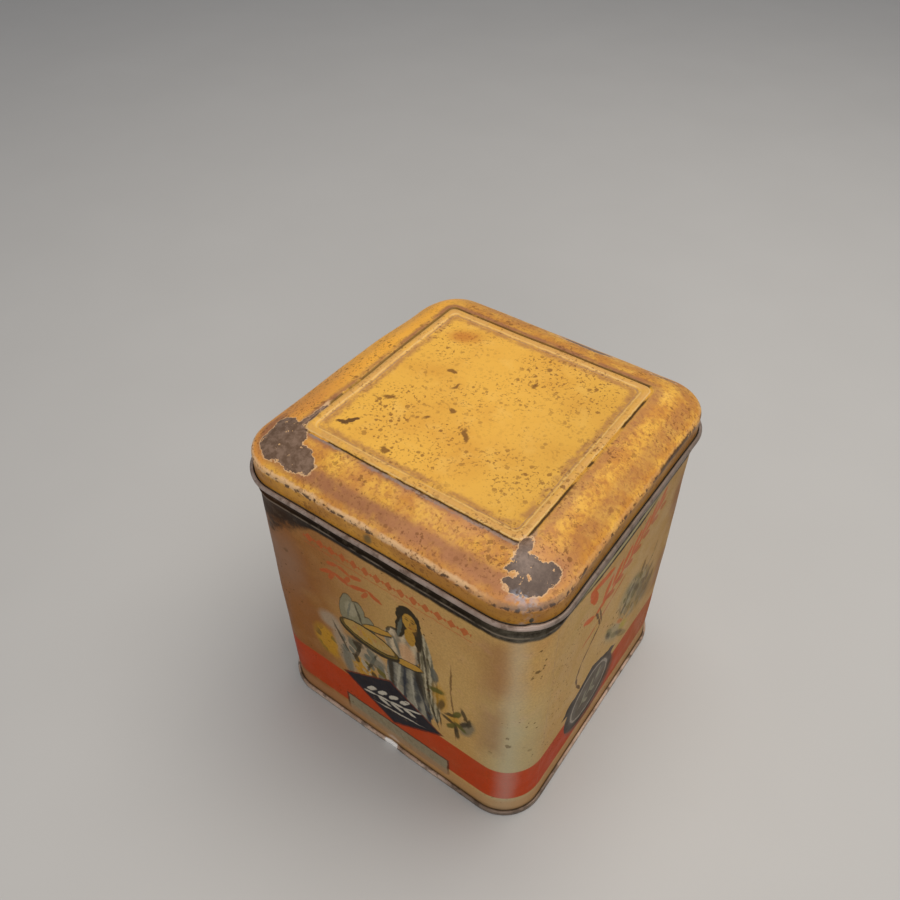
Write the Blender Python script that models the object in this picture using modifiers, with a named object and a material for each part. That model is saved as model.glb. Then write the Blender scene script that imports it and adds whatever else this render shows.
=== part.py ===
"""Square slip-lid cookie tin: printed body, seamed bottom, drawn lid with a wired rim.

Metres, +Z up, origin at the centre of the footprint. Every sheet is drawn as its middle surface, a stack of
rounded squares, and Solidify gives it the sheet's thickness. An "offset" is a distance outwards from the
outer face of the body wall.
"""

import math

import bpy
from mathutils import Vector

# Driving dimensions
BODY_WIDTH = 0.175          # across the flats of the body
BODY_CORNER_R = 0.0236      # outer radius of the body's upright corners
SHEET = 0.0003              # tinplate
GAP = 0.0003                # clearance between two sheets

# Bottom double seam
SEAM_HEIGHT = 0.0036
BOTTOM_RECESS = 0.0035      # the bottom panel's height above the foot
BOTTOM_STEP = 0.0008        # extra rise of the middle of the bottom panel
BOTTOM_STEP_INSET = 0.0075
FOLD = 0.0003               # how far a fold's corner is cut back

# Body
STOP_BEAD_Z = 0.1737
STOP_BEAD_OUT = 0.0009
STOP_BEAD_HALF = 0.0018
MOUTH_HEM_Z = 0.1935        # centre of the hem rolled inwards at the mouth
MOUTH_HEM_R = 0.00075
MOUTH_HEM_TAIL = 0.0012

# Side seam, folded inwards, on the -X wall
SIDE_SEAM_Y = 0.040
SIDE_SEAM_WIDTH = 0.0060
SIDE_SEAM_RAMP = 0.0008
SIDE_SEAM_DEPTH = 0.0005
SIDE_SEAM_LOW_Z = 0.0080
SIDE_SEAM_HIGH_Z = 0.1690

# Lid
SKIRT_OFFSET = 0.0006       # middle of the lid's skirt
CURL_Z = 0.1824             # centre of the outward curl
CURL_R = 0.0012             # middle of the sheet in the curl
CURL_START_DEG = 110.0      # where the curl's edge ends, short of the skirt
BREAK_Z = 0.1930            # where the skirt starts to turn over
BREAK_R = 0.0025
GROOVE_HALF = 0.0636        # half width of the square groove round the panel
GROOVE_CORNER_R = 0.0040
GROOVE_TOP_Z = 0.2050
GROOVE_DEPTH = 0.0007
GROOVE_WIDTH = 0.0014
SHOULDER_RISE = 0.0099
SHOULDER_POWER = 1.7        # 1 is a straight slope, more is rounder near the edge
RIDGE_WIDTH = 0.0050
RIDGE_HEIGHT = 0.0007
PANEL_Z = 0.2048
RIM_WIRE_R = 0.00075

# Fineness
CORNER_STEPS = 6
CURL_STEPS = 7
BREAK_STEPS = 3
SHOULDER_STEPS = 5
HEM_STEPS = 4

LID_LIFT_POINT = (0.0, 0.0, MOUTH_HEM_Z)


def rounded_square(half, radius, z, side_points=()):
    """Points round a square of this half width and corner radius, from +X round to -Y.

    side_points are (y, inset) pairs added on the -X side, from high y to low.
    """
    points = []
    for corner in range(4):
        start = corner * math.pi / 2
        centre_x = math.copysign(half - radius, math.cos(start + math.pi / 4))
        centre_y = math.copysign(half - radius, math.sin(start + math.pi / 4))
        for step in range(CORNER_STEPS + 1):
            angle = start + step * math.pi / 2 / CORNER_STEPS
            x = centre_x + radius * math.cos(angle)
            y = centre_y + radius * math.sin(angle)
            points.append(Vector((x, y, z)))
        if corner == 1:
            points += [Vector((-half + inset, y, z)) for y, inset in side_points]
    return points


def around_body(offset, z, side_points=()):
    """A ring that keeps the same distance from the body wall all round."""
    return rounded_square(BODY_WIDTH / 2 + offset, BODY_CORNER_R + offset, z, side_points)


def arc(centre, radius, start_deg, end_deg, steps):
    """Profile points (offset, z) on an arc."""
    points = []
    for step in range(steps + 1):
        angle = math.radians(start_deg + (end_deg - start_deg) * step / steps)
        points.append((centre[0] + radius * math.cos(angle), centre[1] + radius * math.sin(angle)))
    return points


def material(name, color, roughness, metallic):
    mat = bpy.data.materials.new(name)
    mat.use_nodes = True
    shader = mat.node_tree.nodes["Principled BSDF"]
    shader.inputs["Base Color"].default_value = (*color, 1.0)
    shader.inputs["Roughness"].default_value = roughness
    shader.inputs["Metallic"].default_value = metallic
    return mat


def sheet_object(name, rings, mat, collection, close_last=False):
    """A sheet lofted through rings of equal point counts, given its thickness by Solidify."""
    count = len(rings[0])
    points = [point for ring in rings for point in ring]
    faces = []
    for level in range(len(rings) - 1):
        low, high = level * count, (level + 1) * count
        for i in range(count):
            j = (i + 1) % count
            faces.append((low + i, low + j, high + j, high + i))
    if close_last:
        faces.append(tuple(range((len(rings) - 1) * count, len(rings) * count)))
    mesh = bpy.data.meshes.new(name)
    mesh.from_pydata(points, [], faces)
    mesh.shade_smooth()
    mesh.set_sharp_from_angle(angle=math.radians(35))
    obj = bpy.data.objects.new(name, mesh)
    mesh.materials.append(mat)
    collection.objects.link(obj)
    thickness = obj.modifiers.new("sheet", "SOLIDIFY")
    thickness.thickness = SHEET
    thickness.offset = 0.0
    thickness.use_even_offset = True
    thickness.use_quality_normals = True
    return obj


def side_seam(depth):
    """The four extra points of the folded side seam on the -X wall."""
    outer = SIDE_SEAM_WIDTH / 2
    inner = outer - SIDE_SEAM_RAMP
    return (
        (SIDE_SEAM_Y + outer, 0.0),
        (SIDE_SEAM_Y + inner, depth),
        (SIDE_SEAM_Y - inner, depth),
        (SIDE_SEAM_Y - outer, 0.0),
    )


def make_body_wall(collection):
    """Hook in the bottom seam, upright wall, stop bead, and the hem rolled inwards at the mouth."""
    wall = -SHEET / 2
    hook = wall + 4 * GAP
    floor = GAP + 1.5 * SHEET
    hook_top = SEAM_HEIGHT - 3.5 * GAP
    low = [
        (hook, hook_top),
        (hook, floor + FOLD),
        (hook - FOLD, floor),
        (wall + FOLD, floor),
        (wall, floor + FOLD),
        (wall, SIDE_SEAM_LOW_Z),
    ]
    bead = [
        (wall + STOP_BEAD_OUT * 0.5 * (1 + math.cos(math.pi * t)), STOP_BEAD_Z + STOP_BEAD_HALF * t)
        for t in (-1.0, -0.6, -0.25, 0.25, 0.6, 1.0)
    ]
    hem_centre = (wall - MOUTH_HEM_R, MOUTH_HEM_Z)
    hem = arc(hem_centre, MOUTH_HEM_R, 0, 180, HEM_STEPS)
    hem.append((hem_centre[0] - MOUTH_HEM_R, MOUTH_HEM_Z - MOUTH_HEM_TAIL))

    flat_side = side_seam(0.0)
    folded_side = side_seam(SIDE_SEAM_DEPTH)
    rings = [around_body(offset, z, flat_side) for offset, z in low]
    rings.append(around_body(wall, SIDE_SEAM_LOW_Z + SIDE_SEAM_RAMP, folded_side))
    rings.append(around_body(wall, SIDE_SEAM_HIGH_Z - SIDE_SEAM_RAMP, folded_side))
    rings.append(around_body(wall, SIDE_SEAM_HIGH_Z, flat_side))
    rings += [around_body(offset, z, flat_side) for offset, z in bead + hem]
    cream_print = material("cream_print", (0.55, 0.40, 0.20), 0.35, 0.1)
    return sheet_object("body_wall", rings, cream_print, collection)


def make_bottom_panel(collection):
    """Cover hook, outer seam wall, flat foot, chuck wall and a panel with one step."""
    cover_hook = 1.5 * GAP
    outer_wall = cover_hook + 4 * GAP
    inner_wall = -SHEET - GAP - SHEET / 2
    top = SEAM_HEIGHT - SHEET / 2
    foot = SHEET / 2
    hook_bottom = foot + 4 * GAP
    panel = BOTTOM_RECESS
    step = inner_wall - BOTTOM_STEP_INSET
    profile = [
        (cover_hook, hook_bottom),
        (cover_hook, top - FOLD),
        (cover_hook + FOLD, top),
        (outer_wall - FOLD, top),
        (outer_wall, top - FOLD),
        (outer_wall, foot + FOLD),
        (outer_wall - FOLD, foot),
        (inner_wall + FOLD, foot),
        (inner_wall, foot + FOLD),
        (inner_wall, panel - FOLD),
        (inner_wall - FOLD, panel),
        (step, panel),
        (step - 2 * BOTTOM_STEP, panel + BOTTOM_STEP),
    ]
    rings = [around_body(offset, z) for offset, z in profile]
    plain_tinplate = material("plain_tinplate", (0.30, 0.28, 0.26), 0.40, 0.9)
    return sheet_object("bottom_panel", rings, plain_tinplate, collection, close_last=True)


def make_lid_shell(collection):
    """Outward curl, skirt, turned-over edge, sloping shoulder, groove, ridge and flat panel."""
    half_body = BODY_WIDTH / 2
    curl_centre = (SKIRT_OFFSET + CURL_R, CURL_Z)
    rings = [
        around_body(offset, z)
        for offset, z in arc(curl_centre, CURL_R, CURL_START_DEG, -180, CURL_STEPS)
    ]

    shoulder_run = half_body + SKIRT_OFFSET - BREAK_R - GROOVE_HALF
    edge_slope = math.degrees(math.atan(SHOULDER_POWER * SHOULDER_RISE / shoulder_run))
    break_arc = arc((SKIRT_OFFSET - BREAK_R, BREAK_Z), BREAK_R, 0, 90 - edge_slope, BREAK_STEPS)
    rings += [around_body(offset, z) for offset, z in break_arc]

    edge_half = half_body + break_arc[-1][0]
    edge_radius = BODY_CORNER_R + break_arc[-1][0]
    edge_z = break_arc[-1][1]
    for step in range(1, SHOULDER_STEPS + 1):
        t = 1 - step / SHOULDER_STEPS
        half = GROOVE_HALF + (edge_half - GROOVE_HALF) * t
        radius = GROOVE_CORNER_R + (edge_radius - GROOVE_CORNER_R) * t
        z = GROOVE_TOP_Z - (GROOVE_TOP_Z - edge_z) * t**SHOULDER_POWER
        rings.append(rounded_square(half, radius, z))

    groove_floor_half = GROOVE_HALF - GROOVE_WIDTH / 2
    ridge_half = GROOVE_HALF - GROOVE_WIDTH
    ridge_top = PANEL_Z + RIDGE_HEIGHT
    for half, z in (
        (groove_floor_half, GROOVE_TOP_Z - GROOVE_DEPTH),
        (ridge_half, PANEL_Z + RIDGE_HEIGHT / 2),
        (ridge_half - RIDGE_WIDTH * 0.25, ridge_top),
        (ridge_half - RIDGE_WIDTH * 0.65, ridge_top - RIDGE_HEIGHT * 0.3),
        (ridge_half - RIDGE_WIDTH, PANEL_Z),
    ):
        radius = max(GROOVE_CORNER_R - (GROOVE_HALF - half) / 2, 0.001)
        rings.append(rounded_square(half, radius, z))
    yellow_print = material("yellow_print", (0.62, 0.34, 0.06), 0.40, 0.1)
    return sheet_object("lid_shell", rings, yellow_print, collection, close_last=True)


def make_rim_wire(collection):
    """The steel wire inside the lid's curl."""
    curve = bpy.data.curves.new("lid_rim_wire", "CURVE")
    curve.dimensions = "3D"
    curve.bevel_depth = RIM_WIRE_R
    curve.bevel_resolution = 2
    points = around_body(SKIRT_OFFSET + CURL_R, CURL_Z)
    spline = curve.splines.new("POLY")
    spline.points.add(len(points) - 1)
    for spline_point, point in zip(spline.points, points):
        spline_point.co = (*point, 1.0)
    spline.use_cyclic_u = True
    curve.materials.append(material("steel_wire", (0.35, 0.34, 0.33), 0.45, 1.0))
    obj = bpy.data.objects.new("lid_rim_wire", curve)
    collection.objects.link(obj)
    return obj


def main():
    for obj in list(bpy.data.objects):
        bpy.data.objects.remove(obj, do_unlink=True)
    tin = bpy.data.collections.new("cookie_tin")
    bpy.context.scene.collection.children.link(tin)

    make_body_wall(tin)
    make_bottom_panel(tin)

    lid_lift = bpy.data.objects.new("lid_lift", None)
    lid_lift.location = LID_LIFT_POINT
    tin.objects.link(lid_lift)
    bpy.context.view_layer.update()
    for piece in (make_lid_shell(tin), make_rim_wire(tin)):
        piece.parent = lid_lift
        piece.matrix_parent_inverse = lid_lift.matrix_world.inverted()


main()
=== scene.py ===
"""Looks of the square slip-lid cookie tin: worn lithographed tinplate on finer sheets than the CAD's."""

import math
from functools import partial, reduce

import bpy
from mathutils import Matrix, Vector, noise


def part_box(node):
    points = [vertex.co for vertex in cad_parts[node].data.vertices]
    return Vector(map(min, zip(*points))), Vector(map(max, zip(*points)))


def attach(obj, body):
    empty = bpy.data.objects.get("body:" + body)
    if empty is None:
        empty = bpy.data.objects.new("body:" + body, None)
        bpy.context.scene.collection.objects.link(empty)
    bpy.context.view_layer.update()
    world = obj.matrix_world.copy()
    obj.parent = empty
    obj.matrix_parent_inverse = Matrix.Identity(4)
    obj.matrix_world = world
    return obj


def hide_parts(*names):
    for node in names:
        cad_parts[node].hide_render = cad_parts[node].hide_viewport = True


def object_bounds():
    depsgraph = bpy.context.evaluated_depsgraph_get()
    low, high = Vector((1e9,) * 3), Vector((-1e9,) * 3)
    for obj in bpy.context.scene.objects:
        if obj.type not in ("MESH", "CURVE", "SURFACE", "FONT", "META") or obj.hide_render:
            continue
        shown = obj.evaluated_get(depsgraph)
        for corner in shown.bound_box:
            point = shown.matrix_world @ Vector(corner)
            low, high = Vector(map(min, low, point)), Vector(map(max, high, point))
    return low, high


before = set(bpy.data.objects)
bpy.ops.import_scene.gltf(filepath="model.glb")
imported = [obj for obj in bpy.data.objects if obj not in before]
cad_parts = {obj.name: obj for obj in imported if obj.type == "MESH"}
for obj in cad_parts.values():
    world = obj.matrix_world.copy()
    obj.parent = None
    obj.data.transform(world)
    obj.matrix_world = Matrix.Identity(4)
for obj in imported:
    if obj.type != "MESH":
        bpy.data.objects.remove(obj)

CAD_LOW, CAD_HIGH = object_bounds()

MM = 0.001

# Sizes read from model.glb's parts, and the few that they don't state
FOOT_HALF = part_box("bottom_panel")[1].x
CURL_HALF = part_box("lid_shell")[1].x
CURL_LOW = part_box("lid_shell")[0].z
MOUTH_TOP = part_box("body_wall")[1].z
SHEET = 0.3 * MM
SEAM_OUT = 1.8 * MM
SEAM_HEIGHT = 3.6 * MM
BODY_HALF = FOOT_HALF - SEAM_OUT
BODY_CORNER_R = 23.6 * MM
BODY_FLAT = BODY_HALF - BODY_CORNER_R
CORNER_MIDDLE = (BODY_FLAT + BODY_CORNER_R * math.pi / 4) / MM

# Body
BOTTOM_RECESS = 3.5 * MM
STOP_BEAD_Z = 173.7 * MM
STOP_BEAD_OUT = 0.9 * MM
STOP_BEAD_HALF = 1.8 * MM
WALL_TOP = 178 * MM
HEM_R = 0.75 * MM
HEM_Z = MOUTH_TOP - HEM_R - SHEET / 2
SIDE_SEAM_Y = 40 * MM

# Lid
CURL_R = 1.2 * MM
CURL_Z = CURL_LOW + CURL_R + SHEET / 2
SKIRT = CURL_HALF - SHEET / 2 - 2 * CURL_R - BODY_HALF
BREAK_R = 2.5 * MM
BREAK_Z = 193 * MM
CURL_RUN = 37.6
GROOVE_HALF = 63.6 * MM
GROOVE_CORNER_R = 4 * MM
GROOVE_TOP_Z = 205 * MM
GROOVE_DEPTH = 0.7 * MM
GROOVE_WIDTH = 1.3 * MM
SHOULDER_RISE = 9.9 * MM
SHOULDER_POWER = 1.7
RIDGE_WIDTH = 5 * MM
RIDGE_HEIGHT = 0.7 * MM
PANEL_Z = 204.8 * MM
WIRE_R = 0.75 * MM

# Fineness
CORNER_STEPS = 14
SIDE_STEPS = 26

# Camera at the photograph's angle
CAMERA_AIM = Vector((-0.0389, 0.0265, 0.1339))
CAMERA_AZIMUTH = 36.08
CAMERA_ELEVATION = 43.67
CAMERA_ROLL = -0.28
CAMERA_DISTANCE = 0.4995
CAMERA_LENS = 33.78


# ---------------- sheets

def rounded_square(half, radius):
    """(point, outward direction, unrolled distance from its side's middle) round a square."""
    ring = []
    flat = half - radius
    for side in range(4):
        turn = Matrix.Rotation(side * math.pi / 2, 2)
        for step in range(SIDE_STEPS):
            y = flat * (2 * step / SIDE_STEPS - 1)
            ring.append((turn @ Vector((half, y)), turn @ Vector((1, 0)), y))
        for step in range(CORNER_STEPS):
            angle = step / CORNER_STEPS * math.pi / 2
            out = Vector((math.cos(angle), math.sin(angle)))
            ring.append((turn @ (Vector((flat, flat)) + radius * out), turn @ out, flat + radius * angle))
    return ring


def arc(centre, radius, start_deg, end_deg, steps):
    points = []
    for step in range(steps + 1):
        angle = math.radians(start_deg + (end_deg - start_deg) * step / steps)
        points.append((centre[0] + radius * math.cos(angle), centre[1] + radius * math.sin(angle)))
    return points


def line(start, end, steps):
    """Points from just after start to end."""
    return [
        (start[0] + (end[0] - start[0]) * i / steps, start[1] + (end[1] - start[1]) * i / steps)
        for i in range(1, steps + 1)
    ]


def around_body(profile):
    """Rings that keep their distance from the body wall all round, from (offset, z) points."""
    return [(BODY_HALF + offset, BODY_CORNER_R + offset, z) for offset, z in profile]


def make_sheet(name, rings, landmark, bend, coats, close_last=False):
    """A sheet of real thickness through rings of (half width, corner radius, z).

    The attribute "run" is the distance in millimetres along the section, from the ring numbered landmark.
    coats are (chosen, outside material, inside material); a face takes the last one whose chosen(centre,
    normal, run) is true.
    """
    runs = [0.0]
    for (half_a, _, z_a), (half_b, _, z_b) in zip(rings, rings[1:]):
        runs.append(runs[-1] + math.hypot(half_b - half_a, z_b - z_a))
    points, run_values, across_values = [], [], []
    for (half, radius, z), run in zip(rings, runs):
        for flat_point, out, across in rounded_square(half, radius):
            points.append(bend(Vector((*flat_point, z)), Vector((*out, 0))))
            run_values.append((run - runs[landmark]) / MM)
            across_values.append(across / MM)
    count = 4 * (SIDE_STEPS + CORNER_STEPS)
    faces = []
    for level in range(len(rings) - 1):
        for i in range(count):
            j = (i + 1) % count
            low, high = level * count, (level + 1) * count
            faces.append((low + i, low + j, high + j, high + i))
    if close_last:
        faces.append(tuple(range((len(rings) - 1) * count, len(rings) * count)))
    mesh = bpy.data.meshes.new(name)
    mesh.from_pydata(points, [], faces)
    mesh.shade_smooth()
    for attribute, values in (("run", run_values), ("across", across_values)):
        mesh.attributes.new(attribute, "FLOAT", "POINT").data.foreach_set("value", values)
    for _, outside, inside in coats:
        mesh.materials.append(outside)
        mesh.materials.append(inside)
    for polygon in mesh.polygons:
        run = run_values[polygon.vertices[0]]
        for number, (chosen, _, _) in enumerate(coats):
            if chosen(polygon.center, polygon.normal, run):
                polygon.material_index = 2 * number
    piece = add_object(name, mesh)
    thickness = piece.modifiers.new("sheet", "SOLIDIFY")
    thickness.thickness = SHEET
    thickness.offset = 0.0
    thickness.use_even_offset = True
    thickness.material_offset = 1
    return piece


def add_object(name, data):
    thing = bpy.data.objects.new(name, data)
    bpy.context.scene.collection.objects.link(thing)
    return thing


def anywhere(centre, normal, run):
    return True


def clamp(value):
    return min(1.0, max(0.0, value))


def swell(point, scale, height):
    """Smooth random rise and fall, the same every time."""
    return height * noise.noise(point * scale)


def bump(point, centre, spread, depth):
    """Height of one rounded dent or bulge at a point."""
    away = Vector(((point[i] - centre[i]) / spread[i] for i in range(3)))
    return depth * math.exp(-away.length_squared)


def pressed(point):
    """The lid's left edge near the back corner, pushed down together with the mouth under it."""
    outside = clamp((max(abs(point.x), abs(point.y)) - GROOVE_HALF) / (12 * MM))
    above = clamp((point.z - CURL_Z - 3 * MM) / (8 * MM))
    return outside * above * bump(point, (-0.092, 0.062, 0.195), (0.016, 0.028, 0.1), -3.6 * MM)


def foot_knock(point):
    """The one dent in the foot rim, in the wall's hook and the bottom's fold alike."""
    return bump(point, (0.001, -FOOT_HALF, 0.002), (0.005, 0.006, 0.004), -1 * MM)


def body_profile():
    """Hook in the bottom seam, wall, stop bead and the hem rolled inwards."""
    wall = -SHEET / 2
    seam_hook = 1.05 * MM
    points = [(seam_hook, 2.55 * MM), (seam_hook, 1.3 * MM)]
    points += arc((seam_hook - 0.45 * MM, 1.2 * MM), 0.45 * MM, 0, -90, 3)
    points += arc((wall + 0.45 * MM, 1.2 * MM), 0.45 * MM, -90, -180, 3)
    points += line(points[-1], (wall, STOP_BEAD_Z - STOP_BEAD_HALF), 34)
    for step in range(1, 12):
        t = step / 6 - 1
        rise = STOP_BEAD_OUT * 0.5 * (1 + math.cos(math.pi * t))
        points.append((wall + rise, STOP_BEAD_Z + STOP_BEAD_HALF * t))
    points.append((wall, STOP_BEAD_Z + STOP_BEAD_HALF))
    points += line(points[-1], (wall, HEM_Z), 5)
    points += arc((wall - HEM_R, HEM_Z), HEM_R, 0, 180, 10)[1:]
    points.append((wall - 2 * HEM_R, HEM_Z - 1.2 * MM))
    return points


def bend_body(point, out):
    """Slight bows and dents of a thin old wall."""
    up = point.z
    middle = max(0.0, 1 - (point.x * out.y - point.y * out.x) ** 2 / BODY_FLAT**2)
    free = clamp((up - 5 * MM) / (30 * MM)) * clamp((WALL_TOP - up) / (12 * MM))
    bow = 0.45 * MM * middle * math.sin(math.pi * min(1.0, up / WALL_TOP))
    bow += bump(point, (BODY_HALF, -0.004, 0.166), (0.02, 0.034, 0.016), 0.9 * MM)
    waves = swell(point, 28, 0.35 * MM) + swell(point, 90, 0.08 * MM)
    seam = 0.0
    if out.x < -0.99 and abs(point.y - SIDE_SEAM_Y) < 3 * MM and 0 < free:
        seam = -0.35 * MM * min(1.0, free * 8)
    return point + out * (free * (bow + waves) + seam + foot_knock(point)) + Vector((0, 0, pressed(point)))


def bottom_profile():
    """Seam fold outside the body, flat foot, chuck wall and stepped panel."""
    hook = 0.45 * MM
    outer = SEAM_OUT - SHEET / 2
    inner = -0.75 * MM
    foot = SHEET / 2
    top = SEAM_HEIGHT - SHEET / 2
    panel = BOTTOM_RECESS
    points = [(hook, 1.35 * MM), (hook, top - 0.4 * MM)]
    points += arc((hook + 0.35 * MM, top - 0.35 * MM), 0.35 * MM, 180, 90, 4)
    points += arc((outer - 0.6 * MM, top - 0.6 * MM), 0.6 * MM, 90, 0, 6)
    points += line(points[-1], (outer, foot + 0.4 * MM), 3)
    points += arc((outer - 0.35 * MM, foot + 0.35 * MM), 0.35 * MM, 0, -90, 4)[1:]
    points += arc((inner + 0.35 * MM, foot + 0.35 * MM), 0.35 * MM, -90, -180, 4)
    points += line(points[-1], (inner, panel - 0.5 * MM), 2)
    points += arc((inner - 0.4 * MM, panel - 0.4 * MM), 0.4 * MM, 0, 90, 4)
    step = inner - 7.5 * MM
    points += line(points[-1], (step, panel), 3)
    points += line(points[-1], (step - 1.6 * MM, panel + 0.8 * MM), 4)
    return points


def bend_bottom(point, out):
    return point + out * foot_knock(point)


def lid_rings():
    """Curl, skirt, turned-over edge, shoulder, groove, ridge and panel; also the groove's ring number."""
    profile = arc((SKIRT + CURL_R, CURL_Z), CURL_R, 110, -180, 18)
    profile += line(profile[-1], (SKIRT, BREAK_Z), 8)
    run = BODY_HALF + SKIRT - BREAK_R - GROOVE_HALF
    edge_slope = math.degrees(math.atan(SHOULDER_POWER * SHOULDER_RISE / run))
    profile += arc((SKIRT - BREAK_R, BREAK_Z), BREAK_R, 0, 90 - edge_slope, 8)[1:]
    rings = around_body(profile)
    edge_half, edge_radius, edge_z = rings[-1]
    steps = 20
    for step in range(1, steps + 1):
        t = 1 - step / steps
        rings.append((
            GROOVE_HALF + (edge_half - GROOVE_HALF) * t,
            GROOVE_CORNER_R + (edge_radius - GROOVE_CORNER_R) * t,
            GROOVE_TOP_Z - (GROOVE_TOP_Z - edge_z) * t**SHOULDER_POWER,
        ))
    groove_ring = len(rings) - 1
    for step in range(1, 7):
        t = step / 6
        z = GROOVE_TOP_Z - GROOVE_DEPTH * math.sin(math.pi * t) ** 1.5
        rings.append((GROOVE_HALF - GROOVE_WIDTH * t, GROOVE_CORNER_R, z))
    ridge_half = GROOVE_HALF - GROOVE_WIDTH
    for step in range(1, 11):
        t = step / 10
        rise = RIDGE_HEIGHT * math.sin(math.pi * t**0.7) ** 1.2 if t < 1 else 0.0
        z = GROOVE_TOP_Z + (PANEL_Z - GROOVE_TOP_Z) * t + rise
        rings.append((ridge_half - RIDGE_WIDTH * t, GROOVE_CORNER_R - RIDGE_WIDTH * t / 4, z))
    panel_half = ridge_half - RIDGE_WIDTH
    for step in range(1, 15):
        half = panel_half * (1 - step / 14.5)
        rings.append((half, min(2.7 * MM, half / 2), PANEL_Z))
    return rings, groove_ring


def bend_lid(point, out):
    """Waves of a much-handled lid, a crease at the front corner, a few dents and a pressed-down edge."""
    side = swell(point, 30, 0.3 * MM)
    crease = bump(point, (0.0815, -0.0815, 0.1856), (0.0022, 0.0022, 0.003), -1.1 * MM)
    lift = swell(point + Vector((3, 1, 2)), 35, 0.45 * MM)
    lift += bump(point, (-0.07, -0.07, 0.2), (0.01, 0.008, 0.02), -0.5 * MM)
    lift += bump(point, (0.074, -0.07, 0.2), (0.008, 0.008, 0.02), -0.35 * MM)
    lift += bump(point, (0.0, 0.0, 0.205), (0.045, 0.045, 0.02), 0.5 * MM)
    lift += pressed(point)
    return point + out * (side + crease) + Vector((0, 0, lift))


# ---------------- materials

class Paint:
    """A material's node tree and the colour painted so far; sockets and numbers are used alike."""

    def __init__(self, name, color, metallic=0.0, specular=0.5, coat=0.0, coat_roughness=0.3):
        self.material = bpy.data.materials.new(name)
        self.material.use_nodes = True
        self.tree = self.material.node_tree
        self.shader = self.tree.nodes["Principled BSDF"]
        inputs = self.shader.inputs
        inputs["Metallic"].default_value = metallic
        inputs["Specular IOR Level"].default_value = specular
        inputs["Coat Weight"].default_value = coat
        inputs["Coat Roughness"].default_value = coat_roughness
        self.place = self.add("ShaderNodeTexCoord").outputs["Object"]
        self.axes = self.split(self.place)
        self.color = color

    def add(self, kind, **settings):
        node = self.tree.nodes.new(kind)
        for key, value in settings.items():
            setattr(node, key, value)
        return node

    def feed(self, socket, value):
        if isinstance(value, bpy.types.NodeSocket):
            self.tree.links.new(value, socket)
        elif isinstance(value, tuple) and len(value) == 3 and socket.type == "RGBA":
            socket.default_value = (*value, 1.0)
        else:
            socket.default_value = value

    def make(self, kind, *values, output=0, **settings):
        """Adds a node, feeds its inputs in order and gives one of its outputs."""
        node = self.add(kind, **settings)
        for socket, value in zip(node.inputs, values):
            self.feed(socket, value)
        return node.outputs[output]

    def split(self, vector):
        node = self.add("ShaderNodeSeparateXYZ")
        self.feed(node.inputs[0], vector)
        return node.outputs

    def join(self, x, y, z=0.0):
        return self.make("ShaderNodeCombineXYZ", x, y, z)

    def math(self, operation, first, second=0.0, third=0.0):
        return self.make("ShaderNodeMath", first, second, third, operation=operation)

    def vector(self, operation, first, second, output=0):
        return self.make("ShaderNodeVectorMath", first, second, operation=operation, output=output)

    def times(self, *values):
        return reduce(partial(self.math, "MULTIPLY"), values)

    def most(self, *values):
        return reduce(partial(self.math, "MAXIMUM"), values)

    def sum(self, first, second):
        return self.math("ADD", first, second)

    def minus(self, first, second):
        return self.math("SUBTRACT", first, second)

    def scaled(self, value, factor, offset):
        return self.math("MULTIPLY_ADD", value, factor, offset)

    def ramp(self, value, low, high, to_low=0.0, to_high=1.0):
        """Smooth step from to_low at low to to_high at high."""
        ends = (low, high, to_low, to_high)
        return self.make("ShaderNodeMapRange", value, *ends, interpolation_type="SMOOTHSTEP")

    def band(self, value, low, high, soft):
        """1 between low and high, fading over soft at both ends."""
        return self.times(
            self.ramp(value, low - soft, low + soft), self.ramp(value, high - soft, high + soft, 1, 0)
        )

    def mix(self, amount, first, second):
        node = self.add("ShaderNodeMix", data_type="RGBA")
        self.feed(node.inputs["Factor"], amount)
        self.feed(node.inputs[6], first)
        self.feed(node.inputs[7], second)
        return node.outputs[2]

    def lay(self, color, *amounts):
        """Covers what is painted so far with a colour, by the product of the amounts."""
        self.color = self.mix(self.times(*amounts), self.color, color)

    def grain(self, scale, detail=3.0, roughness=0.55, shift=0.0):
        """Noise of about one feature per 1/scale metre, from 0 to 1."""
        node = self.add("ShaderNodeTexNoise")
        where = self.place
        if shift:
            where = self.vector("ADD", where, (shift, shift * 0.7, shift * 0.3))
        self.feed(node.inputs["Vector"], where)
        node.inputs["Scale"].default_value = scale
        node.inputs["Detail"].default_value = detail
        node.inputs["Roughness"].default_value = roughness
        return node.outputs["Fac"]

    def blots(self, scale, detail, low, high, amount=1.0, rough=0.55, shift=0.0, least=0.0):
        """Grain sharpened to patches: least where it is under low, amount where it is over high."""
        return self.ramp(self.grain(scale, detail, rough, shift), low, high, least, amount)

    def specks(self, scale, size, shift=0.0):
        """Ragged spots of random size, at most size of a cell."""
        node = self.add("ShaderNodeTexVoronoi", feature="F1")
        self.feed(node.inputs["Vector"], self.vector("ADD", self.place, (shift, shift * 0.7, shift * 0.3)))
        node.inputs["Scale"].default_value = scale
        chance = self.split(node.outputs["Color"])[0]
        reach = self.math("MULTIPLY", self.math("POWER", chance, 3.0), size)
        ragged = self.scaled(self.grain(scale * 3, 2, shift=shift), 0.5, -0.25)
        closeness = self.minus(self.sum(reach, ragged), node.outputs["Distance"])
        return self.ramp(closeness, -0.03, 0.07)

    def by_hand(self, across, up, scale, shake, detail=2):
        """The place (across, up, 1) for Print, with edges that wander by shake."""
        shaken = []
        for value, shift in ((across, 5), (up, 9)):
            wander = self.minus(self.grain(scale, detail, 0.65, shift=shift), 0.5)
            shaken.append(self.scaled(wander, shake, value))
        return self.join(*shaken, 1)

    def attribute(self, name):
        return self.add("ShaderNodeAttribute", attribute_name=name).outputs["Fac"]

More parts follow.
